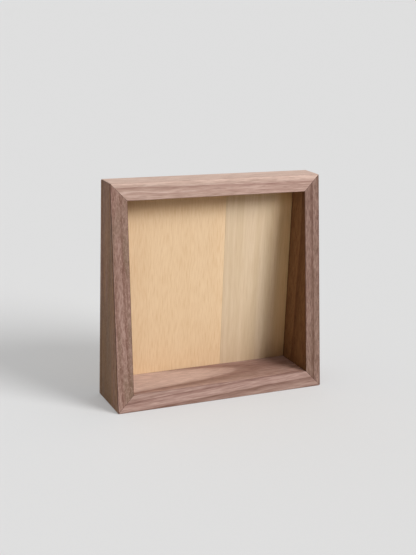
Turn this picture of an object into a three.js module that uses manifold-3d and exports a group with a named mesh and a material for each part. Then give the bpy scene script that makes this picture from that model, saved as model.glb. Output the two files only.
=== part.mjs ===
// A wedge-sided display box in walnut: four mitred boards around a flush plywood back, open at the front.
// The sides are deeper at the foot than at the head, so the front leans back over a vertical rear.
// Millimetres. X runs across the front, +Y towards the rear, +Z up. The origin is under the middle of the base.

import * as THREE from "three";
import { mergeVertices } from "three/addons/utils/BufferGeometryUtils.js";
import Module from "manifold-3d";

const wasm = await Module();
wasm.setup();

// ---------- Overall sizes ----------
const overallWidth = 200;
const overallHeight = 195;
const baseDepth = 50; // front to rear, along the underside
const topDepth = 23; // front to rear, along the top
const boardThickness = 15;

// ---------- Joinery ----------
const glueLine = 0.1; // gap left between two glued faces
const rebateWidth = 5; // how far the rebate for the back is let into each board
const splineThickness = 3; // loose tongue across each mitre
const splineWidth = 10;
const splineStop = 6; // wood left in front of each spline, so that the front shows a plain mitre
const splineRecess = 0.5; // each spline ends this far short of the rear
const splineClearance = 0.2; // between a spline and its slot, all round

// ---------- Plywood back ----------
const veneerThickness = 0.6; // each outer ply
const coreThickness = 1.6; // the middle ply
const panelClearance = 0.5; // between the panel's edges and the rebate
const seamOffset = 17.6; // the front veneer's splice, to the right of the middle

// ---------- Panel brads ----------
const bradLength = 12;
const bradShankRadius = 0.6;
const bradHeadRadius = 1;
const bradHeadThickness = 0.5;
const bradPointLength = 1.5;
const bradClearance = 0.15; // between a brad and its hole, on the radius
const bradMargin = 25; // from an inner corner of the frame to the first brad
const bradsPerSide = 3;
const roundSegments = 12;

// ---------- Sizes that follow ----------
const rearY = baseDepth / 2;
const halfWidth = overallWidth / 2;
const innerHalfWidth = halfWidth - boardThickness;
const innerBottom = boardThickness;
const innerTop = overallHeight - boardThickness;
const panelThickness = 2 * veneerThickness + coreThickness + 2 * glueLine;
const rebateDepth = panelThickness + glueLine;
const panelHalfWidth = innerHalfWidth + rebateWidth - panelClearance;
const panelBottom = innerBottom - rebateWidth + panelClearance;
const panelTop = innerTop + rebateWidth - panelClearance;
const cutMargin = 5; // how far a cutter runs past the wood it cuts

// ---------- Finishes ----------
function woodMaterial(color, roughness) {
  return new THREE.MeshStandardMaterial({ color, roughness, metalness: 0 });
}

const walnut = woodMaterial(0x9a7a6b, 0.6);
const honeyVeneer = woodMaterial(0xe0bd93, 0.55);
const paleVeneer = woodMaterial(0xdcc4a2, 0.55);
const poplarCore = woodMaterial(0xc9ab80, 0.75);
const beechSpline = woodMaterial(0xc79c74, 0.7);
const brightSteel = new THREE.MeshStandardMaterial({ color: 0x9c9c98, roughness: 0.35, metalness: 1 });

// ---------- Solids and cuts ----------

// A closed three.js geometry as a manifold-3d solid.
function solidOf(geometry) {
  const bare = geometry.clone();
  bare.deleteAttribute("normal");
  bare.deleteAttribute("uv");
  const merged = mergeVertices(bare, 1e-4);
  return new wasm.Manifold(
    new wasm.Mesh({
      numProp: 3,
      vertProperties: merged.attributes.position.array,
      triVerts: new Uint32Array(merged.index.array),
    }),
  );
}

// A manifold-3d solid back as a three.js geometry.
function geometryOf(solid) {
  const mesh = solid.getMesh();
  const geometry = new THREE.BufferGeometry();
  geometry.setAttribute("position", new THREE.BufferAttribute(mesh.vertProperties, 3));
  geometry.setIndex(new THREE.BufferAttribute(mesh.triVerts, 1));
  geometry.computeVertexNormals();
  return geometry;
}

// The first solid with each of the others taken away.
function cut(solid, cutters) {
  return cutters.reduce((left, cutter) => left.subtract(cutter), solid);
}

// An axis-aligned box between two opposite corners.
function boxBetween([x0, y0, z0], [x1, y1, z1]) {
  const box = new THREE.BoxGeometry(x1 - x0, y1 - y0, z1 - z0);
  return box.translate((x0 + x1) / 2, (y0 + y1) / 2, (z0 + z1) / 2);
}

// A flat outline pushed along an axis: the two given axes carry the outline, their cross product the depth.
function prism(outline, depth, acrossAxis, upAxis) {
  const shape = new THREE.Shape(outline.map(([across, up]) => new THREE.Vector2(across, up)));
  const geometry = new THREE.ExtrudeGeometry(shape, { depth, bevelEnabled: false });
  const depthAxis = new THREE.Vector3().crossVectors(acrossAxis, upAxis);
  return geometry.applyMatrix4(new THREE.Matrix4().makeBasis(acrossAxis, upAxis, depthAxis));
}

const axisX = new THREE.Vector3(1, 0, 0);
const axisY = new THREE.Vector3(0, 1, 0);
const axisZ = new THREE.Vector3(0, 0, 1);

// Where the leaning front lies at a height.
function frontY(height) {
  const depth = baseDepth + ((topDepth - baseDepth) * height) / overallHeight;
  return rearY - depth;
}

// ---------- Places that repeat ----------
const corners = [];
for (const [level, up] of [["top", 1], ["bottom", -1]]) {
  for (const [side, right] of [["left", -1], ["right", 1]]) {
    corners.push({ name: `${level}_${side}`, up, right });
  }
}

// Evenly spaced brad places along one side, from low to high.
function spacedAlong(low, high) {
  const pitch = (high - low) / (bradsPerSide - 1);
  return Array.from({ length: bradsPerSide }, (_, i) => low + i * pitch);
}

const bradInset = boardThickness - rebateWidth / 2; // brads stand in the middle of the rebate's shoulder
const bradPlaces = [];
spacedAlong(-innerHalfWidth + bradMargin, innerHalfWidth - bradMargin).forEach((x, i) => {
  bradPlaces.push({ name: `brad_top_${i + 1}`, x, z: overallHeight - bradInset });
  bradPlaces.push({ name: `brad_bottom_${i + 1}`, x, z: bradInset });
});
spacedAlong(innerBottom + bradMargin, innerTop - bradMargin).forEach((z, i) => {
  bradPlaces.push({ name: `brad_left_${i + 1}`, x: -halfWidth + bradInset, z });
  bradPlaces.push({ name: `brad_right_${i + 1}`, x: halfWidth - bradInset, z });
});

// Round holes for every brad, between two depths.
function bradHoles(radius, fromY, toY) {
  return bradPlaces.map(({ x, z }) => {
    const hole = new THREE.CylinderGeometry(radius, radius, toY - fromY, roundSegments);
    return solidOf(hole.translate(x, (fromY + toY) / 2, z));
  });
}

// ---------- Loose splines across the mitres ----------

// The middle of a corner's spline. It starts a fixed way behind the front and ends short of the rear.
function splinePlace({ up, right }) {
  const middle = boardThickness / 2;
  const z = up > 0 ? overallHeight - middle : middle;
  const highest = z + (splineWidth + splineThickness) / (2 * Math.SQRT2);
  const startY = frontY(highest) + splineStop;
  const endY = rearY - splineRecess;
  return { x: right * (halfWidth - middle), z, startY, endY, turn: (up * right * Math.PI) / 4 };
}

// The spline's bar, or with a clearance the slot it slides into, which is open at the rear.
function splineBar(corner, clearance, rearOverrun) {
  const { x, z, startY, endY, turn } = splinePlace(corner);
  const from = startY - clearance;
  const to = endY + rearOverrun;
  const width = splineWidth + 2 * clearance;
  const thickness = splineThickness + 2 * clearance;
  return new THREE.BoxGeometry(width, to - from, thickness)
    .rotateY(turn)
    .translate(x, (from + to) / 2, z);
}

// ---------- Frame boards ----------

// Front-view outline of each board: outer edge first, then the inner edge, with the mitres drawn back by half a glue line.
const mitreGap = glueLine / Math.SQRT2;
const boardOutlines = {
  bottom_board: [
    [-halfWidth + mitreGap, 0],
    [halfWidth - mitreGap, 0],
    [innerHalfWidth - mitreGap, innerBottom],
    [-innerHalfWidth + mitreGap, innerBottom],
  ],
  top_board: [
    [halfWidth - mitreGap, overallHeight],
    [-halfWidth + mitreGap, overallHeight],
    [-innerHalfWidth + mitreGap, innerTop],
    [innerHalfWidth - mitreGap, innerTop],
  ],
  left_board: [
    [-halfWidth, overallHeight - mitreGap],
    [-halfWidth, mitreGap],
    [-innerHalfWidth, innerBottom + mitreGap],
    [-innerHalfWidth, innerTop - mitreGap],
  ],
  right_board: [
    [halfWidth, mitreGap],
    [halfWidth, overallHeight - mitreGap],
    [innerHalfWidth, innerTop - mitreGap],
    [innerHalfWidth, innerBottom + mitreGap],
  ],
};

// Everything in front of the leaning front plane.
function frontWaste() {
  const farY = frontY(0) - cutMargin;
  const below = -cutMargin;
  const above = overallHeight + cutMargin;
  const outline = [
    [farY, below],
    [frontY(below), below],
    [frontY(above), above],
    [farY, above],
  ];
  const width = overallWidth + 2 * cutMargin;
  return solidOf(prism(outline, width, axisY, axisZ).translate(-width / 2, 0, 0));
}

// The rebate that the back drops into, cut round all four boards at once.
function rebateWaste() {
  const side = innerHalfWidth + rebateWidth;
  return solidOf(
    boxBetween(
      [-side, rearY - rebateDepth, innerBottom - rebateWidth],
      [side, rearY + cutMargin, innerTop + rebateWidth],
    ),
  );
}

const frameCutters = [
  frontWaste(),
  rebateWaste(),
  ...corners.map((corner) => solidOf(splineBar(corner, splineClearance, splineRecess + cutMargin))),
  ...bradHoles(bradShankRadius + bradClearance, rearY - bradLength - bradClearance, rearY),
];

function frameBoard(outline) {
  const depth = baseDepth + cutMargin;
  const blank = prism(outline, depth, axisX, axisZ).translate(0, rearY, 0);
  return geometryOf(cut(solidOf(blank), frameCutters));
}

// ---------- Plywood back: rear veneer, core, and a front veneer spliced from two leaves ----------
const rearVeneerFront = rearY - veneerThickness;
const coreRear = rearVeneerFront - glueLine;
const coreFront = coreRear - coreThickness;
const frontVeneerRear = coreFront - glueLine;
const panelFront = rearY - panelThickness;

function ply(fromX, toX, fromY, toY, holeRadius) {
  const sheet = boxBetween([fromX, fromY, panelBottom], [toX, toY, panelTop]);
  const holes = bradHoles(holeRadius, fromY - cutMargin, toY + cutMargin);
  return geometryOf(cut(solidOf(sheet), holes));
}

const shankHole = bradShankRadius + bradClearance;
const headHole = bradHeadRadius + bradClearance;

// ---------- Brads ----------

// A brad turned about its own axis: point, shank and flat head, with the head's top at the origin.
function bradGeometry() {
  const profile = [
    [0, -bradLength],
    [bradShankRadius, -bradLength + bradPointLength],
    [bradShankRadius, -bradHeadThickness],
    [bradHeadRadius, -bradHeadThickness],
    [bradHeadRadius, 0],
    [0, 0],
  ];
  return new THREE.LatheGeometry(
    profile.map(([radius, along]) => new THREE.Vector2(radius, along)),
    roundSegments,
  );
}

// ---------- The assembly ----------
const displayBox = new THREE.Group();

function addPiece(group, name, geometry, material) {
  const mesh = new THREE.Mesh(geometry, material);
  mesh.name = name;
  group.add(mesh);
  return mesh;
}

const frame = new THREE.Group();
displayBox.add(frame);
for (const [name, outline] of Object.entries(boardOutlines)) {
  addPiece(frame, name, frameBoard(outline), walnut);
}
for (const corner of corners) {
  addPiece(frame, `mitre_spline_${corner.name}`, splineBar(corner, 0, 0), beechSpline);
}

const back = new THREE.Group();
displayBox.add(back);
addPiece(
  back,
  "panel_front_veneer_left",
  ply(-panelHalfWidth, seamOffset - glueLine / 2, panelFront, frontVeneerRear, shankHole),
  honeyVeneer,
);
addPiece(
  back,
  "panel_front_veneer_right",
  ply(seamOffset + glueLine / 2, panelHalfWidth, panelFront, frontVeneerRear, shankHole),
  paleVeneer,
);
addPiece(back, "panel_core", ply(-panelHalfWidth, panelHalfWidth, coreFront, coreRear, shankHole), poplarCore);
addPiece(
  back,
  "panel_rear_veneer",
  ply(-panelHalfWidth, panelHalfWidth, rearVeneerFront, rearY, headHole),
  paleVeneer,
);

const fixings = new THREE.Group();
displayBox.add(fixings);
const headGap = (veneerThickness - bradHeadThickness) / 2; // heads sit just below the rear face
for (const { name, x, z } of bradPlaces) {
  addPiece(fixings, name, bradGeometry(), brightSteel).position.set(x, rearY - headGap, z);
}

export default displayBox;
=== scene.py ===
"""Open-front walnut display box: planed boards, a spliced plywood back and its fixings.

Everything is in metres in the frame's own axes: X across the front, +Y towards the rear, +Z up.
"""

import logging
import math
from dataclasses import dataclass, field
from enum import Enum

import bpy
import numpy as np
from mathutils import Euler, Matrix, Vector


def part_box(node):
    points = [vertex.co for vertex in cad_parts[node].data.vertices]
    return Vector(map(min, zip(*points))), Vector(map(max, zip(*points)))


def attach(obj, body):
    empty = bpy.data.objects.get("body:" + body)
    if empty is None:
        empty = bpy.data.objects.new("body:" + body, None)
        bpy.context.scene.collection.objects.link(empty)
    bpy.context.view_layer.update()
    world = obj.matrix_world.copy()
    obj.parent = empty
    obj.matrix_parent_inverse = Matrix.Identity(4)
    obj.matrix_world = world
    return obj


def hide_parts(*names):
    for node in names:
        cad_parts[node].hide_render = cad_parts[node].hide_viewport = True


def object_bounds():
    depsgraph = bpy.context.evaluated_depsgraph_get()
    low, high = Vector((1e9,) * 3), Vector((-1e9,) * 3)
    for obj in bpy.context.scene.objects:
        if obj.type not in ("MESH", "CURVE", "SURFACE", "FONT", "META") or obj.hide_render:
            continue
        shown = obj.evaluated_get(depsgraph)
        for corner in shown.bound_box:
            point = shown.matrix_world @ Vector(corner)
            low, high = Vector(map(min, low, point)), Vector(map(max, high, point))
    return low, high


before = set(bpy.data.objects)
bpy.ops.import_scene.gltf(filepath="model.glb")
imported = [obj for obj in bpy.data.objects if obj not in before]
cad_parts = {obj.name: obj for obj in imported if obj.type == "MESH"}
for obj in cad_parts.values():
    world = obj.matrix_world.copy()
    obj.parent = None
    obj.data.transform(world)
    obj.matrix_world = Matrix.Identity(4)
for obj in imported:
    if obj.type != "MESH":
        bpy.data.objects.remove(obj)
cad_low, cad_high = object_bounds()

MM = 0.001  # metres in a millimetre
SMOOTH_BELOW = math.radians(32)  # edges that turn less than this are shaded round
WHITE = (1.0, 1.0, 1.0, 1.0)
NOWHERE = (900.0, 901.0)  # a cut in mm that no piece of this size reaches
SHADED_FACE_TINT = (-7.3, -7.45)  # painted shade: a warm tint on the face on a side board's left, in mm off its middle; on both side boards that face lies in shade

# Sockets of a Mix node, which Blender numbers because their names repeat.
MIX_FACTOR, MIX_A, MIX_B, MIX_RESULT = 0, 6, 7, 2
MIX_NUMBER_A, MIX_NUMBER_B = 2, 3

log = logging.getLogger("display_box")

Socket = bpy.types.NodeSocket
Tree = bpy.types.NodeTree
Piece = bpy.types.Object
Material = bpy.types.Material
Array = np.ndarray
Pair = tuple[float, float]
Colour = tuple[float, float, float, float]


# --- colours and nodes


def linear(hex_code: str) -> Colour:
    """Turns an sRGB hex colour to linear light.

    Args:
        hex_code: Six hex digits, such as "8a6f62".

    Returns:
        Red, green, blue and an alpha of 1, from 0 to 1.
    """
    coded = np.array([int(hex_code[i : i + 2], 16) for i in (0, 2, 4)]) / 255
    light = np.where(coded <= 0.04045, coded / 12.92, ((coded + 0.055) / 1.055) ** 2.4)
    return (*light.tolist(), 1.0)


def add_node(
    tree: Tree,
    kind: str,
    inputs: dict | None = None,
    stops: list[tuple[float, str]] | None = None,
    **settings: object,
) -> bpy.types.Node:
    """Adds one node with its settings, values and links.

    Args:
        tree: The node tree that takes it.
        kind: The node's class name.
        inputs: By socket name or number, a value or the output that feeds it.
        stops: A colour ramp's stops, each with its place from 0 to 1 and its hex colour.
        **settings: The node's own attributes.

    Returns:
        The new node.
    """
    node = tree.nodes.new(kind)
    for key, value in settings.items():
        setattr(node, key, value)
    for key, value in (inputs or {}).items():
        if isinstance(value, Socket):
            tree.links.new(value, node.inputs[key])
        else:
            node.inputs[key].default_value = value
    for i, (place, hex_code) in enumerate(stops or []):
        ramp = node.color_ramp.elements
        stop = ramp[i] if i < 2 else ramp.new(place)
        stop.position, stop.color = place, linear(hex_code)
    return node


def surface(
    tree: Tree, sockets: dict, relief: Socket | None = None, strength: float = 0, depth: float = 0
) -> None:
    """Ends a tree in one principled shader, over a relief where there is one.

    Args:
        tree: The node tree.
        sockets: The shader's sockets, as add_node takes them.
        relief: The height's pattern.
        strength: How strongly it shows.
        depth: Its depth in mm.
    """
    if relief:
        levels = {"Height": relief, "Strength": strength, "Distance": depth * MM}
        sockets["Normal"] = add_node(tree, "ShaderNodeBump", levels).outputs["Normal"]
    shader = add_node(tree, "ShaderNodeBsdfPrincipled", sockets)
    add_node(tree, "ShaderNodeOutputMaterial", {"Surface": shader.outputs["BSDF"]})


class Grain(Enum):
    """The axis that the fibres run along, as the turn that brings it to the pattern's Z axis."""

    ALONG_X = (0.0, -90.0, 0.0)
    ALONG_Y = (90.0, 0.0, 0.0)
    ALONG_Z = (0.0, 0.0, 0.0)
    RISING = (0.0, -45.0, 0.0)
    FALLING = (0.0, 45.0, 0.0)


def grain_space(
    tree: Tree, grain: Grain, middle: Vector, pith: Pair = (0.0, 0.0), lean: Pair = (0.0, 0.0)
) -> Socket:
    """Places a pattern in the log: millimetres, Z along the fibres, and the pith on the Z axis.

    The place is turned by the grain's turn and then by the log's lean, scaled, and moved so that the
    piece's middle lies off the pith.

    Args:
        tree: The node tree.
        grain: The axis that the fibres run along.
        middle: The piece's middle, in metres.
        pith: How far the middle lies from the pith, on the two axes across the grain, in mm.
        lean: How far the log leans off the piece, about those two axes, in degrees.

    Returns:
        The place in the log.
    """
    to_grain = Euler([math.radians(a) for a in grain.value]).to_matrix()
    turn = Euler([math.radians(a) for a in (*lean, 0.0)]).to_matrix() @ to_grain
    moves = {
        "Vector": add_node(tree, "ShaderNodeTexCoord").outputs["Object"],
        "Location": Vector((*pith, 0.0)) - turn @ (middle / MM),
        "Rotation": turn.to_euler(),
        "Scale": (1 / MM, 1 / MM, 1 / MM),
    }
    return add_node(tree, "ShaderNodeMapping", moves).outputs["Vector"]


def weighted(
    tree: Tree, start: Socket | float, *terms: tuple[Socket, Socket | float],
    cut: Pair | None = None,
) -> Socket:
    """A sum: start, and each pattern times its weight, and then a smooth step where there is a cut.

    Args:
        tree: The node tree.
        start: What the sum starts from.
        *terms: Each pattern and its weight.
        cut: Where the step is 0 and where it is 1, with an S curve between.

    Returns:
        The sum or its step.
    """
    total = start
    for pattern, weight in terms:
        inputs = {0: pattern, 1: weight, 2: total}
        total = add_node(tree, "ShaderNodeMath", inputs, operation="MULTIPLY_ADD").outputs[0]
    if cut:
        inputs = {"Value": total, "From Min": cut[0], "From Max": cut[1]}
        step = add_node(tree, "ShaderNodeMapRange", inputs, interpolation_type="SMOOTHSTEP")
        total = step.outputs[0]
    return total


def streaks(
    tree: Tree, place: Socket, size: Pair, detail: float = 2.0, harshness: float = 0.5,
    cut: Pair | None = None,
) -> Socket:
    """Streaks that run with the fibres: noise in a space squeezed by the streak's width and length.

    Args:
        tree: The node tree.
        place: The place in the log, from grain_space.
        size: A streak's width and length in mm.
        detail: How many finer octaves are added.
        harshness: How strong each finer octave is against the one before.
        cut: As weighted takes it.

    Returns:
        From 0 to 1, and about 0.5 in the mean.
    """
    across, along = size
    squeeze = {0: place, 1: (1 / across, 1 / across, 1 / along)}
    squeezed = add_node(tree, "ShaderNodeVectorMath", squeeze, operation="MULTIPLY").outputs[0]
    scales = {"Vector": squeezed, "Scale": 1.0, "Detail": detail, "Roughness": harshness}
    return weighted(tree, add_node(tree, "ShaderNodeTexNoise", scales).outputs[0], cut=cut)


def blend(
    tree: Tree, low: Socket | Colour, high: Socket | Colour, pattern: Socket,
    amount: Socket | float = 1.0, mode: str = "MIX",
) -> Socket:
    """One colour over another, as far as a pattern times an amount lets it show.

    Args:
        tree: The node tree.
        low: The lower colour.
        high: The upper colour.
        pattern: Where the upper colour shows.
        amount: How much of it shows there.
        mode: How the two are blended.

    Returns:
        The colour.
    """
    factor = pattern if amount == 1.0 else weighted(tree, 0.0, (pattern, amount))
    inputs = {MIX_FACTOR: factor, MIX_A: low, MIX_B: high}
    mixed = add_node(tree, "ShaderNodeMix", inputs, data_type="RGBA", blend_type=mode)
    return mixed.outputs[MIX_RESULT]


# --- finishes


@dataclass(frozen=True)
class Finish:
    """What a piece is made of, and how its surface was left.

    In every finish a size is a width and a length in mm, and a depth is how much of something shows.

    Attributes:
        name: The material's name.
    """

    name: str

    def draw(self, tree: Tree, middle: Vector) -> None:
        """Draws the surface in a material's node tree, for a piece with that middle in metres."""
        raise NotImplementedError

    def dress(self, middle: Vector) -> Material:
        """Makes the material for a piece with that middle, in metres."""
        material = bpy.data.materials.new(self.name)
        material.use_nodes = True
        material.node_tree.nodes.clear()
        self.draw(material.node_tree, middle)
        return material


class Zone(Enum):
    """What shows beside plain heartwood, as the way its colour is blended.

    SAPWOOD follows the rings. The other kind is painted shade: a warm, darker tint across the
    board's width on one face that lies in shade.
    """

    SAPWOOD = "MIX"
    # Painted shade, multiplied over a face in shade.
    SHADE_TINT = "MULTIPLY"


@dataclass(frozen=True)
class Walnut(Finish):
    """American black walnut, planed, sanded and oiled.

    Its eye: growth rings that end in a thin dark line, broad rose and olive streaks, fine fibres and
    open pores that show as short dashes, a satin surface that is duller in the pores.

    Attributes:
        grain: The axis that the fibres run along.
        pith: How far the board's middle lies from the pith, across the grain, in mm.
        lean: How far the log leans off the board, in degrees.
        ring: Width of a growth ring in mm, negative where the rings darken towards the pith.
        tones: Heartwood from its darkest line to its palest, as hex.
        zone: Where a zone of other colour starts and is complete, in mm: from the pith for sapwood,
        and from the board's middle for the painted shade tint on a face in shade.
        zone_tone: The zone's colour, as hex.
        zone_depth: How much of that colour there is.
        zone_streaks: How much less of it there is in every other streak.
        zone_trace: How much the fibres show through it.
        zone_kind: What the zone is.
        phase, warp: How far the rings are moved out and how far they wander, in mm.
        ring_depth: How dark a ring's end is.
        fibre_size, fibre_depth: Of a bundle of fibres.
        broad_depth: Of the broad streaks.
        pore_size, pore_tone, pore_depth: Of a pore's dash.
        olive_depth: Of the olive streaks.
        arris_depth: How dark the worn edges are.
    """

    grain: Grain
    pith: Pair
    lean: Pair
    ring: float
    tones: tuple[str, str, str, str]
    zone: Pair
    zone_tone: str
    zone_depth: float = 1.0
    zone_streaks: float = 0.0
    zone_trace: float = 0.0
    zone_kind: Zone = Zone.SHADE_TINT
    phase: float = 0.0
    warp: float = 3.0
    ring_depth: float = 0.16
    # Fibres are 0.03 mm wide, too fine to show: they are drawn as bundles over 1 mm wide.
    fibre_size: Pair = (1.1, 18.0)
    fibre_depth: float = 0.6
    broad_depth: float = 0.25
    # Pores are 0.1 to 0.2 mm wide: they are drawn 0.8 mm wide.
    pore_size: Pair = (0.8, 9.0)
    pore_tone: str = "3d2a22"
    pore_depth: float = 0.14
    olive_depth: float = 0.14
    arris_depth: float = 0.4

    def rings(self, tree: Tree, place: Socket) -> tuple[Socket, Socket, Socket, Socket]:
        """The growth rings at a place in the log.

        Rings are the distance from the pith, made uneven by slow and quick noise and counted in ring
        widths. Within a ring the tone falls slowly and then steps back, which draws the dark line.

        Args:
            tree: The node tree.
            place: The place in the log.

        Returns:
            The distance from the pith, the share of its ring that is grown, the ring's fall in tone
            and a chance value for each ring.
        """
        flat = add_node(tree, "ShaderNodeVectorMath", {0: place, 1: (1, 1, 0)}, operation="MULTIPLY")
        across = add_node(tree, "ShaderNodeVectorMath", {0: flat.outputs[0]}, operation="LENGTH")
        far = across.outputs["Value"]
        slow = streaks(tree, place, (40.0, 110.0), 1.0)
        quick = streaks(tree, place, (5.0, 60.0), 2.0)
        slow_warp, quick_warp = 2 * self.warp, self.warp / 4
        start = self.phase - (slow_warp + quick_warp) / 2
        moved = weighted(tree, start, (far, 1.0), (slow, slow_warp), (quick, quick_warp))
        counted = weighted(tree, 0.0, (moved, 1 / self.ring))
        within, index = (
            add_node(tree, "ShaderNodeMath", {0: counted}, operation=operation).outputs[0]
            for operation in ("FRACT", "FLOOR")
        )
        chance = add_node(tree, "ShaderNodeTexWhiteNoise", {"W": index}, noise_dimensions="1D")
        falling, rising = (weighted(tree, within, cut=ends) for ends in ((0.2, 0.93), (0.93, 1.0)))
        late = add_node(tree, "ShaderNodeMath", {0: falling, 1: rising}, operation="SUBTRACT")
        return far, within, late.outputs[0], chance.outputs["Value"]

    def tinted(
        self, tree: Tree, place: Socket, reach: Socket, wood: Socket, fibre: Socket
    ) -> Socket:
        """Over the heartwood's colour: the sapwood's colour, and on a face in shade a painted shade
        tint instead.

        Args:
            tree: The node tree.
            place: The place in the log.
            reach: How far a point lies from the pith or from the board's middle.
            wood: The heartwood's colour.
            fibre: The fibres' pattern, whose dark side shows through.

        Returns:
            The colour.
        """
        streaked = streaks(tree, place, (1.9, 75.0), 1.0, cut=(0.42, 0.6))
        amount = weighted(tree, self.zone_depth, (streaked, -self.zone_depth * self.zone_streaks))
        dark_side = weighted(tree, fibre, cut=(0.62, 0.36))
        tone = blend(tree, linear(self.zone_tone), linear(self.tones[1]), dark_side, self.zone_trace)
        inside = weighted(tree, reach, cut=self.zone)
        return blend(tree, wood, tone, inside, amount, self.zone_kind.value)

    def draw(self, tree: Tree, middle: Vector) -> None:
        """Draws a board's surface, as Finish.draw says."""
        place = grain_space(tree, self.grain, middle, self.pith, self.lean)
        far, within, late, chance = self.rings(tree, place)
        line = add_node(tree, "ShaderNodeMath", {0: late, 1: 4.0}, operation="POWER").outputs[0]
        broad = streaks(tree, place, (7.0, 140.0))
        fibre = streaks(tree, place, self.fibre_size, 2.0, 0.55)
        # The sum's mean stays on the scale's middle, whatever the depths are.
        middle_tone, chance_depth = 0.56, 0.12
        tone = weighted(
            tree,
            middle_tone - self.fibre_depth / 2 - self.broad_depth / 2 + 0.3 * self.ring_depth,
            (late, -0.35 * self.ring_depth),
            (line, -0.65 * self.ring_depth),
            (chance, chance_depth),
            (fibre, self.fibre_depth),
            (broad, self.broad_depth),
        )
        # A ramp starts with its two end stops, and the others are added between them.
        dark, brown, mid, pale = self.tones
        stops = [(0.1, dark), (0.9, pale), (0.38, brown), (0.62, mid)]
        heart = add_node(tree, "ShaderNodeValToRGB", {"Fac": tone}, stops=stops).outputs["Color"]
        olive = streaks(tree, place, (11.0, 170.0), 1.0, cut=(0.42, 0.62))
        wood = blend(tree, heart, linear("6e6048"), olive, self.olive_depth)
        # The painted shade tint is measured straight across the board from its middle, so that it
        # covers the one face in shade.
        if self.zone_kind is Zone.SHADE_TINT:
            square = grain_space(tree, self.grain, middle)
            far = add_node(tree, "ShaderNodeSeparateXYZ", {0: square}).outputs["X"]
        zoned = self.tinted(tree, place, far, wood, fibre)
        # Pores thin out through each ring.
        speck = streaks(tree, place, self.pore_size, 1.0)
        pore = weighted(tree, speck, (within, -0.04), cut=(0.52, 0.66))
        pored = blend(tree, zoned, linear(self.pore_tone), pore, self.pore_depth)
        arris, joint = (
            add_node(tree, "ShaderNodeAttribute", attribute_name=key).outputs["Fac"]
            for key in ("arris", "joint")
        )
        edged = blend(tree, pored, linear(dark), arris, self.arris_depth)
        sockets = {
            "Base Color": blend(tree, edged, linear("2b1c16"), joint),
            "Roughness": weighted(tree, 0.52, (fibre, 0.12), (pore, 0.15)),
            "IOR": 1.5,
            "Specular IOR Level": 0.28,
        }
        relief = weighted(tree, 0.0, (fibre, 0.35), (pore, -0.65))
        surface(tree, sockets, relief, strength=0.35, depth=0.08)


@dataclass(frozen=True)
class SlicedVeneer(Finish):
    """Light hardwood veneer, sliced, glued and sanded, with a thin clear coat.

    Its eye: a pale warm ground, fine upright dashes of pores, soft broad stripes where the knife
    met the rings, and a low even sheen.

    Attributes:
        ground, stripe, dash: Colours of the veneer, its broad stripes and its fine dashes, as hex.
        stripe_width, stripe_depth: Of a stripe.
        dash_length, dash_depth: Of a dash.
        top_shade_to: Heights over the leaf's middle between which painted shade darkens and warms it
        under the board above, in mm.
        side_shade_to: The same right of its middle, where warm painted shade tints it beside the
            side board.
    """

    ground: str
    stripe: str
    dash: str
    stripe_width: float
    stripe_depth: float
    dash_length: float
    dash_depth: float
    top_shade_to: Pair = NOWHERE
    side_shade_to: Pair = NOWHERE

    def draw(self, tree: Tree, middle: Vector) -> None:
        """Draws a leaf's surface, as Finish.draw says."""
        place = grain_space(tree, Grain.ALONG_Z, middle, pith=(31.0, 17.0))
        wide = streaks(tree, place, (self.stripe_width, 260.0), 2.0, 0.55, cut=(0.36, 0.64))
        striped = blend(tree, linear(self.ground), linear(self.stripe), wide, self.stripe_depth)
        # Vessels are about 0.1 mm wide: they are drawn 0.7 mm wide.
        dash = streaks(tree, place, (0.7, self.dash_length), 2.0, 0.6, cut=(0.38, 0.72))
        dashed = blend(tree, striped, linear(self.dash), dash, self.dash_depth)
        shade = weighted(tree, -0.06, (streaks(tree, place, (22.0, 34.0)), 0.22))
        clouded = blend(tree, dashed, linear(self.dash), shade)
        square = grain_space(tree, Grain.ALONG_Z, middle)
        parts = add_node(tree, "ShaderNodeSeparateXYZ", {0: square})
        # Painted shade: the leaf darkens, warm, towards the top, under the board above.
        top_shade = weighted(tree, parts.outputs["Z"], cut=self.top_shade_to)
        oiled = blend(tree, clouded, linear("cfc0a6"), top_shade, mode="MULTIPLY")
        # Painted shade: the leaf turns warmer towards the right, in the side board's shade and its
        # warm bounced light.
        warm = weighted(tree, parts.outputs["X"], cut=self.side_shade_to)
        warmed = blend(tree, oiled, linear("ffefd2"), warm, mode="MULTIPLY")
        rough = weighted(tree, 0.46, (dash, 0.12))
        sockets = {"Base Color": warmed, "Roughness": rough, "IOR": 1.5}
        surface(tree, sockets, dash, strength=0.2, depth=-0.03)


@dataclass(frozen=True)
class SawnWood(Finish):
    """Plain light wood straight from the saw, for pieces inside the joints.

    Its eye: a dull matt surface, fine fibres and short darker flecks.

    Attributes:
        grain: The axis that the fibres run along.
        ground, fleck: Colours of the wood and its flecks, as hex.
        fleck_length: A fleck's length in mm.
    """

    grain: Grain
    ground: str
    fleck: str
    fleck_length: float

    def draw(self, tree: Tree, middle: Vector) -> None:
        """Draws a piece's surface, as Finish.draw says."""
        place = grain_space(tree, self.grain, middle, pith=(12.0, 5.0))
        fibre = streaks(tree, place, (0.5, 9.0), 3.0, 0.6)
        # Ray flecks are 0.2 mm wide: they are drawn 0.4 mm wide.
        fleck = streaks(tree, place, (0.4, self.fleck_length), 1.0, cut=(0.52, 0.66))
        fibred = blend(tree, linear(self.ground), linear(self.fleck), fibre)
        flecked = blend(tree, fibred, linear(self.fleck), fleck, 0.6)
        rough = weighted(tree, 0.66, (fibre, 0.2))
        sockets = {"Base Color": flecked, "Roughness": rough, "IOR": 1.5}
        surface(tree, sockets, fibre, strength=0.5, depth=0.06)


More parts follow.
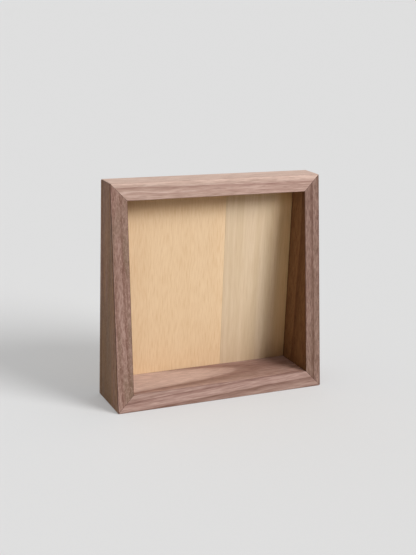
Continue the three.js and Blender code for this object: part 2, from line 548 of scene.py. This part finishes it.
@dataclass(frozen=True)
class DrawnSteel(Finish):
    """Bright drawn steel wire, headed cold.

    Its eye: grey metal with fine turned scratches and dull spots, brighter where the hammer met it.

    Attributes:
        bright, dull: Colours of the clean metal and its dull spots, as hex.
    """

    bright: str
    dull: str

    def draw(self, tree: Tree, middle: Vector) -> None:
        """Draws the wire's surface, as Finish.draw says."""
        place = grain_space(tree, Grain.ALONG_Y, middle)
        spots = streaks(tree, place, (0.5, 0.7), 3.0, 0.6, cut=(0.42, 0.66))
        drawn = streaks(tree, place, (0.08, 3.0))
        metal = blend(tree, linear(self.bright), linear(self.dull), spots)
        rough = weighted(tree, 0.26, (spots, 0.2), (drawn, 0.12))
        sockets = {"Base Color": metal, "Metallic": 1.0, "Roughness": rough}
        surface(tree, sockets, drawn, strength=0.3, depth=0.01)


@dataclass(frozen=True)
class LitTable(Finish):
    """A translucent sheet of matt acrylic, cast and sanded, with a weak light below it.

    Its eye: an even pale grey with no gloss and a faint mottle, on which shadows stay light.

    Attributes:
        ground, mottle: Colours of the sheet and its thicker places, as hex.
        glow: Brightness of the light that comes through.
    """

    ground: str
    mottle: str
    glow: float

    def draw(self, tree: Tree, middle: Vector) -> None:
        """Draws the sheet's surface, which has no middle of its own."""
        place = add_node(tree, "ShaderNodeTexCoord").outputs["Object"]
        # A sanded sheet's tooth is 0.1 mm: it is drawn at 2 mm.
        scales = {"Vector": place, "Scale": 0.5 / MM, "Detail": 1.0}
        tooth = add_node(tree, "ShaderNodeTexNoise", scales).outputs[0]
        sockets = {
            "Base Color": blend(tree, linear(self.ground), linear(self.mottle), tooth),
            "Roughness": 1.0,
            "Specular IOR Level": 0.0,
            "Emission Color": WHITE,
            "Emission Strength": self.glow,
        }
        surface(tree, sockets)


class Side(Enum):
    """A board of the frame, by its CAD node."""

    BOTTOM = "bottom_board"
    TOP = "top_board"
    LEFT = "left_board"
    RIGHT = "right_board"


# Each board is cut from its own place in the log.
BOARD_FINISHES = {
    Side.BOTTOM: Walnut(
        "oiled_walnut_bottom", Grain.ALONG_X, pith=(49.3, -4.4), lean=(0.0, 3.15), ring=-8.0,
        tones=("563b32", "816257", "9f8177", "c3a79c"), phase=5.0, warp=0.8, ring_depth=0.2,
        zone=(44.5, 41.0), zone_tone="d4bbb0", zone_depth=0.78, zone_trace=0.24,
        zone_kind=Zone.SAPWOOD,
    ),
    Side.TOP: Walnut(
        "oiled_walnut_top", Grain.ALONG_X, pith=(-62.0, 20.0), lean=(0.0, -0.6), ring=5.0,
        tones=("7b5c50", "a08176", "b79a8e", "d7beb2"), fibre_size=(1.1, 15.0),
        # Pale sapwood over the top face and the front's upper edge; on the top face it also stands
        # in for that face's brighter sheen under light from above, as painted highlight.
        zone=(65.0, 70.0), zone_tone="e4cabb", zone_depth=0.66, zone_trace=0.26,
        zone_kind=Zone.SAPWOOD,
    ),
    Side.LEFT: Walnut(
        "oiled_walnut_left", Grain.ALONG_Z, pith=(-58.0, 6.0), lean=(0.0, 0.3), ring=7.0,
        tones=("543a31", "77574b", "8e7165", "af9389"), phase=-1.5, warp=1.2,
        fibre_size=(1.1, 7.0), fibre_depth=0.75, pore_size=(0.9, 2.0), pore_tone="b89b8e",
        pore_depth=0.3, olive_depth=0.4, arris_depth=0.9,
        # The outer face lies in shade: a warm painted shade tint covers it.
        zone=SHADED_FACE_TINT, zone_tone="ffecc0", zone_streaks=0.6,
    ),
    Side.RIGHT: Walnut(
        "oiled_walnut_right", Grain.ALONG_Z, pith=(60.0, 8.0), lean=(0.0, 0.5), ring=8.0,
        tones=("4d352d", "6d4e43", "83675b", "a68b80"), phase=1.5, warp=1.5, ring_depth=0.25,
        fibre_size=(1.1, 11.0), fibre_depth=0.65, broad_depth=0.2, pore_size=(0.8, 4.0),
        # The inner face lies in shade: a warm painted shade tint covers it.
        pore_depth=0.26, zone=SHADED_FACE_TINT, zone_tone="ffecb8",
    ),
}

# Each ply's material slot and finish, by its CAD node.
PLY_FINISHES = {
    "panel_front_veneer_left": ("honey_veneer", SlicedVeneer(
        "sanded_honey_veneer", ground="e5c9a6", stripe="e2c5a1", dash="c8a073", stripe_width=14.0,
        # Painted shade under the top board, from 58 mm to 83 mm over the leaf's middle.
        stripe_depth=0.7, dash_length=12.0, dash_depth=0.38, top_shade_to=(58.0, 83.0),
    )),
    "panel_front_veneer_right": ("pale_veneer", SlicedVeneer(
        "sanded_pale_veneer", ground="dfc9ad", stripe="d6bf9f", dash="c6a885", stripe_width=6.0,
        # Painted shade under the top board, from 62 mm to 83 mm over the leaf's middle.
        stripe_depth=0.8, dash_length=22.0, dash_depth=0.38, top_shade_to=(62.0, 83.0),
        # Warm painted shade beside the right board, from 6 mm to 29 mm right of the leaf's middle.
        side_shade_to=(6.0, 29.0),
    )),
    "panel_core": ("poplar_core", SawnWood(
        "sawn_poplar_core", Grain.ALONG_X, "c9ab80", "a98758", fleck_length=4.0,
    )),
    "panel_rear_veneer": ("rear_veneer", SlicedVeneer(
        "sanded_rear_veneer", ground="dcc29b", stripe="cfaf84", dash="b39064", stripe_width=11.0,
        stripe_depth=0.8, dash_length=11.0, dash_depth=0.35,
    )),
}


# --- surfaces as grids: points, shaped rows by points round by 3


def new_object(name: str, data: bpy.types.ID) -> Piece:
    """An object that shows the data, linked to the scene."""
    made = bpy.data.objects.new(name, data)
    bpy.context.scene.collection.objects.link(made)
    return made


def mesh_piece(name: str, grid: Array, weights: dict[str, Array] | None = None) -> Piece:
    """Makes an object of a grid of points that closes on itself round each row.

    Neighbouring rows are joined by quads, and the first and last rows are closed by one face each.
    The quads' volume about the points' mean tells whether the faces point outwards.

    Args:
        name: The object's name.
        grid: The points.
        weights: Named values, shaped rows by points round, kept as attributes.

    Returns:
        The object.
    """
    rows, around, _ = grid.shape
    index = np.arange(rows * around).reshape(rows, around)
    near, far = index[:-1], index[1:]
    quads = np.stack([near, np.roll(near, -1, 1), np.roll(far, -1, 1), far], -1).reshape(-1, 4)
    points = grid.reshape(-1, 3)
    a, b, c, d = (points[quads[:, k]] for k in range(4))
    centre = points.mean(0)
    volume = np.einsum("ij,ij->i", a + c - 2 * centre, np.cross(b - a, d - a)).sum()
    faces = quads.tolist() + [index[0, ::-1].tolist(), index[-1].tolist()]
    if volume < 0:
        faces = [face[::-1] for face in faces]
    mesh = bpy.data.meshes.new(name)
    mesh.from_pydata(points.tolist(), [], faces)
    for key, values in (weights or {}).items():
        attribute = mesh.attributes.new(key, "FLOAT", "POINT")
        attribute.data.foreach_set("value", values.astype(np.float32).ravel())
    mesh.update()
    return new_object(name, mesh)


def carve(piece: Piece, cutters: list[Piece]) -> None:
    """Cuts pieces out of another and keeps the result as its mesh.

    Args:
        piece: The object that is cut.
        cutters: The objects that cut it, which are removed.
    """
    tools = bpy.data.collections.new(f"{piece.name}_cutters")
    bpy.context.scene.collection.children.link(tools)
    for cutter in cutters:
        tools.objects.link(cutter)
    cut = piece.modifiers.new("cut", "BOOLEAN")
    cut.operand_type, cut.collection, cut.solver = "COLLECTION", tools, "EXACT"
    graph = bpy.context.evaluated_depsgraph_get()
    mesh = bpy.data.meshes.new_from_object(piece.evaluated_get(graph))
    piece.modifiers.clear()
    piece.data = mesh
    for cutter in cutters:
        bpy.data.objects.remove(cutter)
    bpy.data.collections.remove(tools)


def finish_piece(piece: Piece, node: str, material: Material) -> None:
    """Shades a piece, gives it its material and puts it in its CAD node's place.

    Args:
        piece: The object.
        node: The CAD node that it stands for.
        material: The finish.
    """
    mesh = piece.data
    mesh.shade_smooth()
    mesh.set_sharp_from_angle(angle=SMOOTH_BELOW)
    mesh.materials.clear()
    mesh.materials.append(material)
    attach(piece, "root")
    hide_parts(node)
    log.info("%s: %d faces, %s", piece.name, len(mesh.polygons), material.name)


def bar_grid(
    size: Pair, radius: float, ends: Pair, centre: Pair, turn: float = 0.0, ease: float = 0.0
) -> Array:
    """A rectangle with round corners, carried along Y, with its end edges eased.

    Each corner is a quarter circle about a centre one radius in from both sides. Near each end the
    section is drawn in along its normals, as a quarter circle falls away, and it is turned about
    the Y axis and moved to its centre.

    Args:
        size: Its width on X and its height on Z, before it is turned.
        radius: Of the corners.
        ends: Where it starts and ends on Y.
        centre: X and Z of its middle.
        turn: About the Y axis, in radians.
        ease: Radius of the end edges.

    Returns:
        The grid.
    """
    corner = np.linspace(0, math.pi / 2, 5) + np.arange(4)[:, None] * math.pi / 2
    normals = np.stack([np.cos(corner), np.sin(corner)], -1)
    signs = np.array([[1, 1], [-1, 1], [-1, -1], [1, -1]])
    points = signs[:, None, :] * (np.array(size) / 2 - radius) + radius * normals
    angle = np.linspace(0, math.pi / 2, 4) if ease else np.zeros(1)
    into, drawn = ease * (1 - np.cos(angle)), ease * (1 - np.sin(angle))
    along = np.concatenate([ends[0] + into, (ends[1] - into)[::-1]])
    inset = np.concatenate([drawn, drawn[::-1]])
    flat = points.reshape(-1, 2) - normals.reshape(-1, 2) * inset[:, None, None]
    c, s = math.cos(turn), math.sin(turn)
    x = centre[0] + c * flat[..., 0] + s * flat[..., 1]
    z = centre[1] - s * flat[..., 0] + c * flat[..., 1]
    return np.stack([x, np.broadcast_to(along[:, None], x.shape), z], -1)


def turned_grid(profile: Array, centre: Pair, around: int) -> Array:
    """A profile turned about an axis along Y.

    Args:
        profile: Radius and place on Y, shaped points by 2.
        centre: X and Z of the axis.
        around: Points round the axis.

    Returns:
        The grid.
    """
    angle = np.linspace(0, 2 * math.pi, around, endpoint=False)
    radius, along = profile[:, :1], profile[:, 1:]
    x = centre[0] + radius * np.cos(angle)
    z = centre[1] + radius * np.sin(angle)
    return np.stack([x, np.broadcast_to(along, x.shape), z], -1)


# --- sub-assemblies


@dataclass
class MitreSplines:
    """The four loose tongues that cross the mitres, seen end on at the rear.

    Attributes:
        width, thickness: Of a tongue, across the mitre and along it.
        clearance: Between a tongue and its slot.
        overrun: How far a slot's cutter runs out of the rear.
        corner: Radius of its long edges.
        places: Each tongue's CAD box and its turn about the Y axis.
    """

    width: float = 10 * MM
    thickness: float = 3 * MM
    clearance: float = 0.2 * MM
    overrun: float = 4 * MM
    corner: float = 0.25 * MM
    places: dict[str, tuple[Vector, Vector, float]] = field(default_factory=dict)

    def __post_init__(self) -> None:
        """Reads each tongue's place from its CAD node, and which way it lies from its corner."""
        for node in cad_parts:
            if node.startswith("mitre_spline_"):
                right, up = node.endswith("right"), "_top_" in node
                turn = math.pi / 4 if right == up else -math.pi / 4
                self.places[node] = (*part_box(node), turn)

    def grid(self, node: str, grown: float = 0.0, overrun: float = 0.0) -> Array:
        """A tongue's surface, or with a growth and an overrun its slot's.

        Args:
            node: The tongue's CAD node.
            grown: Added all round.
            overrun: Added at the rear.

        Returns:
            The grid.
        """
        low, high, turn = self.places[node]
        size = (self.width + 2 * grown, self.thickness + 2 * grown)
        middle = (low + high) / 2
        ends = (low.y - grown, high.y + overrun)
        ease = 0.0 if grown else self.corner
        return bar_grid(size, self.corner, ends, (middle.x, middle.z), turn, ease)

    def slots(self) -> list[Piece]:
        """Cutters for all four slots, open at the rear."""
        grids = {node: self.grid(node, self.clearance, self.overrun) for node in self.places}
        return [mesh_piece(f"{node}_slot", grid) for node, grid in grids.items()]

    def build(self) -> None:
        """Makes and dresses the four tongues."""
        for node, (low, high, turn) in self.places.items():
            grain = Grain.RISING if turn > 0 else Grain.FALLING
            finish = SawnWood(f"beech_{node}", grain, "c79c74", "9a6c46", fleck_length=1.6)
            piece = mesh_piece(f"beech_{node}", self.grid(node))
            finish_piece(piece, node, finish.dress((low + high) / 2))


@dataclass
class PanelBrads:
    """The twelve steel brads that hold the back in its rebate.

    Attributes:
        head, shank: Radii of the head and the wire.
        head_depth: Thickness of the head.
        point: Length of the point.
        clearance: Between a brad and its hole.
        lip: Width of the crushed lip round a head.
        overrun: How far a hole's cutter runs past what it cuts.
        around: Points round the wire.
        nodes: The brads' CAD nodes.
    """

    head: float = 1.0 * MM
    shank: float = 0.6 * MM
    head_depth: float = 0.5 * MM
    point: float = 1.5 * MM
    clearance: float = 0.15 * MM
    lip: float = 0.28 * MM
    overrun: float = 1 * MM
    around: int = 40
    nodes: list[str] = field(default_factory=list)

    def __post_init__(self) -> None:
        """Lists the brads' CAD nodes."""
        self.nodes = sorted(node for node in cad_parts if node.startswith("brad_"))

    def place(self, node: str) -> tuple[float, float, float, float]:
        """A brad's X and Z, and where its point and its head's top lie on Y."""
        low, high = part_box(node)
        return (low.x + high.x) / 2, (low.z + high.z) / 2, low.y, high.y

    def profile(self, tip: float, top: float) -> Array:
        """Half of a brad's outline, from its point to the middle of its head.

        A cone to the wire, rings whose depth is a raised sine, a flare under the head, a half circle
        round the rim, and a crown that falls towards the rim as a parabola.

        Args:
            tip: Where the point is on Y.
            top: Where the head's top is on Y.

        Returns:
            Radius and place on Y, shaped points by 2.
        """
        blunt, rim, crown = 0.048 * MM, 0.16 * MM, 0.06 * MM
        count, pitch, depth, gap = 4, 0.5 * MM, 0.03 * MM, 0.9 * MM
        flare_length, flare_radius = 0.25 * MM, 0.75 * MM
        under, flat = top - self.head_depth, self.head - rim
        cone = [(blunt, tip), (self.shank, tip + self.point)]
        turns = np.linspace(0, count, 6 * count + 1)
        dent = depth * (1 - np.cos(2 * math.pi * turns)) / 2
        rings = np.stack([self.shank - dent, under - gap - pitch * (count - turns)], -1)
        flare = [(self.shank, under - flare_length), (flare_radius, under), (flat, under)]
        angle = np.linspace(-math.pi / 2, math.pi / 2, 9)[1:, None]
        edge = np.hstack([flat + rim * np.cos(angle), top - crown - rim + rim * np.sin(angle)])
        share = np.linspace(0.85, 0.04, 6)[:, None]
        face = np.hstack([share * flat, top - crown * share**2])
        return np.concatenate([cone, rings, flare, edge, face])

    def cutters(self, outline: list[Pair], kind: str) -> list[Piece]:
        """Turns an outline of radius and place on Y about every brad's axis."""
        profile = np.array(outline)
        return [
            mesh_piece(f"{node}_{kind}", turned_grid(profile, self.place(node)[:2], self.around))
            for node in self.nodes
        ]

    def holes(self, start: float, end: float) -> list[Piece]:
        """Cutters for every brad's hole, which run past its start and its end on Y."""
        radius = self.shank + self.clearance
        return self.cutters([(radius, start), (radius, end + self.overrun)], "hole")

    def dimples(self, face: float, floor: float) -> list[Piece]:
        """Cutters for the set heads: a hole for each head whose lip is crushed round by the hammer.

        The lip flares outwards as a quarter circle from the hole to the veneer's face.

        Args:
            face: The veneer's outer face on Y.
            floor: The hole's end on Y.

        Returns:
            The cutters.
        """
        hole, lip = self.head + self.clearance, self.lip
        angle = np.linspace(0, math.pi / 2, 6)
        flared = zip(hole + lip * (1 - np.cos(angle)), face - lip + lip * np.sin(angle))
        return self.cutters([(hole, floor), *flared, (hole + lip, face + lip)], "dimple")

    def build(self) -> None:
        """Makes and dresses the brads."""
        finish = DrawnSteel("bright_drawn_steel", bright="b4b3ae", dull="84807a")
        material = finish.dress(Vector())
        for node in self.nodes:
            x, z, tip, top = self.place(node)
            grid = turned_grid(self.profile(tip, top), (x, z), self.around)
            finish_piece(mesh_piece(f"steel_{node}", grid), node, material)


@dataclass
class FrameBoards:
    """The four mitred boards, wedge-shaped at the sides, with eased arrises.

    Attributes:
        arris: Radius of the long edges at the front and the outside.
        small_arris: Radius of the edges at the rebate.
        heel: Radius of the frame's outer corners, where two boards meet.
        ease: Radius of the edges along each mitre.
        glue: Gap left along the length at each mitre.
        support: Flat kept beside each round edge, so that the face stays flat to the eye.
        panel_gap, edge_gap: Between the back and the rebate's shoulder, and its sides.
        stations: Rows along the middle of a board.
        arc_steps: Chords in each round edge.
    """

    arris: float = 0.55 * MM
    small_arris: float = 0.2 * MM
    heel: float = 1.1 * MM
    ease: float = 0.08 * MM
    glue: float = 0.1 * MM / math.sqrt(2)
    support: float = 0.35 * MM
    panel_gap: float = 0.1 * MM
    edge_gap: float = 0.5 * MM
    stations: int = 25
    arc_steps: int = 7

    def __post_init__(self) -> None:
        """Reads the frame's sizes from its CAD nodes."""
        bottom_low, bottom_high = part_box("bottom_board")
        self.width = cad_high.x - cad_low.x
        self.height = cad_high.z - cad_low.z
        self.thickness = bottom_high.z - bottom_low.z
        self.rear = cad_high.y
        self.foot = cad_low.y
        self.slope = (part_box("top_board")[0].y - self.foot) / (self.height - self.thickness)
        self.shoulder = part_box("panel_front_veneer_left")[0].y - self.panel_gap
        self.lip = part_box("panel_core")[0].x - self.edge_gap + self.width / 2

    def section(self) -> tuple[Array, Array, Array, Array]:
        """The board's section: distance in from its outer face, and depth off the front or the rear.

        Six corners, anticlockwise. A convex corner is a quarter circle between a flat point on each
        side of it, and the rebate's inner corner is one sharp point.

        Returns:
            Over the points: the place and the outward normal, both as inward and depth, whether the
            depth is off the front, and the arris weight.
        """
        rebate = self.shoulder - self.rear
        corners = [
            # distance in, depth, whether from the front, radius
            (0.0, 0.0, True, self.arris),
            (self.thickness, 0.0, True, self.arris),
            (self.thickness, rebate, False, self.small_arris),
            (self.lip, rebate, False, 0.0),
            (self.lip, 0.0, False, self.small_arris),
            (0.0, 0.0, False, self.arris),
        ]
        ways = np.array([(1, 0), (0, 1), (-1, 0), (0, 1), (-1, 0), (0, -1)], float)
        angle = np.linspace(0, math.pi / 2, self.arc_steps + 1)[:, None]
        bow = np.concatenate([[0.0], np.sin(2 * angle[:, 0]) ** 0.5, [0.0]])
        parts = []
        turns = zip(corners, np.roll(ways, 1, 0), ways)
        for (*corner, from_front, radius), way_in, way_out in turns:
            before, after = (np.array([[way[1], -way[0]]]) for way in (way_in, way_out))
            if radius:
                normals = before * np.cos(angle) + after * np.sin(angle)
                arc = np.array(corner) - radius * way_in + radius * way_out + radius * normals
                flats = (arc[:1] - self.support * way_in, arc[-1:] + self.support * way_out)
                points = np.concatenate([flats[0], arc, flats[1]])
                normals = np.concatenate([before, normals, after])
                arris = bow * min(1.0, radius / self.arris)
            else:
                points, normals, arris = np.array([corner]), before + after, np.zeros(1)
            parts.append((points, normals, np.full(len(points), from_front), arris))
        return tuple(np.concatenate(column) for column in zip(*parts))

    def rows(self) -> Array:
        """The rows along a board.

        At each mitre a quarter circle eases the edge, then come rows close enough for the heel,
        and even shares of the length lie between.

        Returns:
            Rows by 4: how far short of the mitre, how far drawn in, its share of the length from -1
            to 1, and the joint weight.
        """
        angle = np.linspace(0, math.pi / 2, 4)
        eased = self.ease * (1 - np.cos(angle))
        heel = np.linspace(0.25, 1.0, 6) * self.heel
        short = np.concatenate([eased, heel, [self.heel + self.support]])
        start, middle = np.zeros((len(short), 4)), np.zeros((self.stations - 2, 4))
        start[:, 0] = short
        start[:4, 1] = self.ease * (1 - np.sin(angle))
        start[:, 2] = -1.0
        start[:3, 3] = 1.0, 0.7, 0.2
        middle[:, 0] = short[-1]
        middle[:, 2] = np.linspace(-1, 1, self.stations)[1:-1]
        return np.concatenate([start, middle, start[::-1] * (1, 1, -1, 1)])

    def board(self, side: Side) -> tuple[Array, dict[str, Array]]:
        """A board's surface: its section carried along its length between two 45 degree mitres.

        A point's reach along the board is half the length, less its distance in from the outer
        face, so both ends lie on mitre planes. Near a heel the outer face follows a quarter circle
        across the joint: its angle is 45 degrees times the share of the heel that is left, and the
        shift fades with the distance in. The front points lie on a plane that leans from the foot.

        Args:
            side: Which board.

        Returns:
            The grid, and the arris and joint weights.
        """
        points, normals, from_front, arris = self.section()
        short, drawn, share, joint = self.rows().T[:, :, None]
        upright = side in (Side.LEFT, Side.RIGHT)
        half = (self.height if upright else self.width) / 2
        inward = points[:, 0] - normals[:, 0] * drawn
        depth = points[:, 1] - normals[:, 1] * drawn
        angle = math.pi / 4 * np.clip(1 - short / self.heel, 0, 1)
        near = short < self.heel
        shift = np.where(near, self.heel * (1 - np.sin(angle)) - short, 0.0)
        sink = np.where(near, self.heel * (1 - np.cos(angle)), 0.0)
        fade = np.clip(1 - inward / (3 * self.heel), 0, 1)
        along = share * (half - self.glue - inward - short - shift * fade)
        inward = inward + sink * fade
        if upright:
            x = self.width / 2 - inward
            x = -x if side is Side.LEFT else x
            z = self.height / 2 + along
        else:
            x = along
            z = self.height - inward if side is Side.TOP else inward
        y = np.where(from_front, self.foot + self.slope * z, self.rear) + depth
        weights = {"arris": arris, "joint": joint}
        return np.stack([x, y, z], -1), {
            key: np.broadcast_to(weight, x.shape) for key, weight in weights.items()
        }

    def build(self, splines: MitreSplines, brads: PanelBrads) -> None:
        """Makes, cuts and dresses the four boards.

        Args:
            splines: Whose slots are cut in the mitres.
            brads: Whose holes are cut in the rebate.
        """
        _, _, tip, top = brads.place(brads.nodes[0])
        for side in Side:
            piece = mesh_piece(f"planed_{side.value}", *self.board(side))
            carve(piece, splines.slots() + brads.holes(tip - brads.clearance, top))
            low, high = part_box(side.value)
            finish_piece(piece, side.value, BOARD_FINISHES[side].dress((low + high) / 2))


@dataclass
class PlywoodBack:
    """The three-ply back: a front veneer spliced from two leaves, a core and a rear veneer.

    Attributes:
        corner: Radius of a sheet's corners.
        ease: Radius of a sheet's edges.
    """

    corner: float = 0.4 * MM
    ease: float = 0.03 * MM

    def build(self, brads: PanelBrads) -> None:
        """Makes, bores and dresses the plies.

        Each is a sheet with eased edges in its CAD node's place, and the rear one is bored for the
        heads and not only the shanks.

        Args:
            brads: Whose shanks and heads pass through.
        """
        for node, (slot, finish) in PLY_FINISHES.items():
            low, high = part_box(node)
            middle = (low + high) / 2
            size, ends = (high.x - low.x, high.z - low.z), (low.y, high.y)
            grid = bar_grid(size, self.corner, ends, (middle.x, middle.z), ease=self.ease)
            piece = mesh_piece(f"sanded_{node}", grid)
            start = low.y - brads.overrun
            headed = node == "panel_rear_veneer"
            carve(piece, brads.dimples(high.y, start) if headed else brads.holes(start, high.y))
            finish_piece(piece, node, finish.dress(middle))


@dataclass(frozen=True)
class SoftLight:
    """A wide, distant soft light.

    Attributes:
        name: The light's name.
        azimuth: Its side of the front, in degrees to the right.
        elevation, spread: Its height and its width as the object sees it, in degrees.
        strength: Its light on a face turned to it.
    """

    name: str
    azimuth: float
    elevation: float
    spread: float
    strength: float

    def build(self) -> None:
        """Makes the light."""
        side, height = math.radians(self.azimuth), math.radians(self.elevation)
        level = math.cos(height)
        towards = Vector((math.sin(side) * level, -math.cos(side) * level, math.sin(height)))
        data = bpy.data.lights.new(self.name, "SUN")
        data.energy, data.angle = self.strength, math.radians(self.spread)
        light = new_object(self.name, data)
        light.rotation_mode = "QUATERNION"
        light.rotation_quaternion = towards.to_track_quat("Z", "Y")


@dataclass
class Studio:
    """A plain pale floor, a large soft key from the right front, an even fill, and the camera.

    Attributes:
        floor_half: Half of the floor's width.
        floor_drop: How far the floor lies under the feet, so that the two don't share a plane.
        lights: The key and the overhead light.
        glows: Brightness of the left wall, the rear wall and the ceiling.
        backdrop: Brightness of the plain backdrop that the camera sees.
        camera_place: Where the camera stands.
        yaw, pitch, roll: Its turn from the rear axis, down and about its own axis, in degrees.
        lens, sensor: Its focal length and its sensor's width, in mm.
    """

    floor_half: float = 90.0
    floor_drop: float = 0.1 * MM
    lights: tuple[SoftLight, ...] = (
        SoftLight("key", azimuth=40.0, elevation=32.0, spread=30.0, strength=2.4),
        SoftLight("overhead", azimuth=60.0, elevation=74.0, spread=60.0, strength=0.35),
    )
    glows: tuple[float, float, float] = (0.35, 0.45, 0.5)
    backdrop: float = 0.62
    camera_place: tuple[float, float, float] = (-0.3763, -0.7815, 0.3507)
    yaw: float = -25.22
    pitch: float = 15.74
    roll: float = 2.12
    lens: float = 65.77
    sensor: float = 36.0

    def camera(self) -> None:
        """Makes the scene's camera."""
        data = bpy.data.cameras.new("camera")
        data.lens, data.sensor_width, data.clip_end = self.lens, self.sensor, 2 * self.floor_half
        camera = new_object("camera", data)
        turn = Matrix.Translation(self.camera_place)
        for degrees, axis in ((self.yaw, "Z"), (90 - self.pitch, "X"), (self.roll, "Z")):
            turn = turn @ Matrix.Rotation(math.radians(degrees), 4, axis)
        camera.matrix_world = turn
        bpy.context.scene.camera = camera

    def room(self) -> None:
        """Makes the room's own light: pale walls to the rear and the left, and a ceiling.

        Each glows with the square of how squarely a direction points at it. The camera itself sees a
        plain backdrop as pale as the floor.
        """
        world = bpy.data.worlds.new("studio")
        world.use_nodes = True
        tree = world.node_tree
        towards = add_node(tree, "ShaderNodeTexCoord").outputs["Generated"]
        parts = add_node(tree, "ShaderNodeSeparateXYZ", {0: towards}).outputs
        glows = []
        for axis, way, glow in zip("XYZ", (-1.0, 1.0, 1.0), self.glows):
            power = weighted(tree, 0.0, (parts[axis], way))
            for operation, number in (("MAXIMUM", 0.0), ("POWER", 2.0)):
                step = add_node(tree, "ShaderNodeMath", {0: power, 1: number}, operation=operation)
                power = step.outputs[0]
            glows.append((power, glow))
        choice = {
            MIX_FACTOR: add_node(tree, "ShaderNodeLightPath").outputs["Is Camera Ray"],
            MIX_NUMBER_A: weighted(tree, 0.0, *glows),
            MIX_NUMBER_B: self.backdrop,
        }
        strength = add_node(tree, "ShaderNodeMix", choice).outputs[0]
        background = tree.nodes["Background"].inputs
        tree.links.new(strength, background["Strength"])
        background["Color"].default_value = WHITE
        bpy.context.scene.world = world
        view = bpy.context.scene.view_settings
        view.view_transform, view.look = "Standard", "Medium High Contrast"

    def floor(self) -> None:
        """Makes the floor: one flat square under the object."""
        half, level = self.floor_half, cad_low.z - self.floor_drop
        corners = [(half * x, half * y, level) for x, y in ((-1, -1), (1, -1), (1, 1), (-1, 1))]
        mesh = bpy.data.meshes.new("floor")
        mesh.from_pydata(corners, [], [(0, 1, 2, 3)])
        table = LitTable("translucent_acrylic_table", ground="bcbcbc", mottle="bababa", glow=0.20)
        mesh.materials.append(table.dress(Vector()))
        new_object("floor", mesh)

    def build(self) -> None:
        """Makes the camera, the lights and the floor."""
        self.camera()
        for light in self.lights:
            light.build()
        self.room()
        self.floor()


# --- the whole


def main() -> None:
    """Builds the studio and every sub-assembly in order."""
    logging.basicConfig(level=logging.INFO, format="%(name)s: %(message)s")
    Studio().build()
    splines, brads = MitreSplines(), PanelBrads()
    FrameBoards().build(splines, brads)
    splines.build()
    PlywoodBack().build(brads)
    brads.build()


if __name__ == "__main__":
    main()
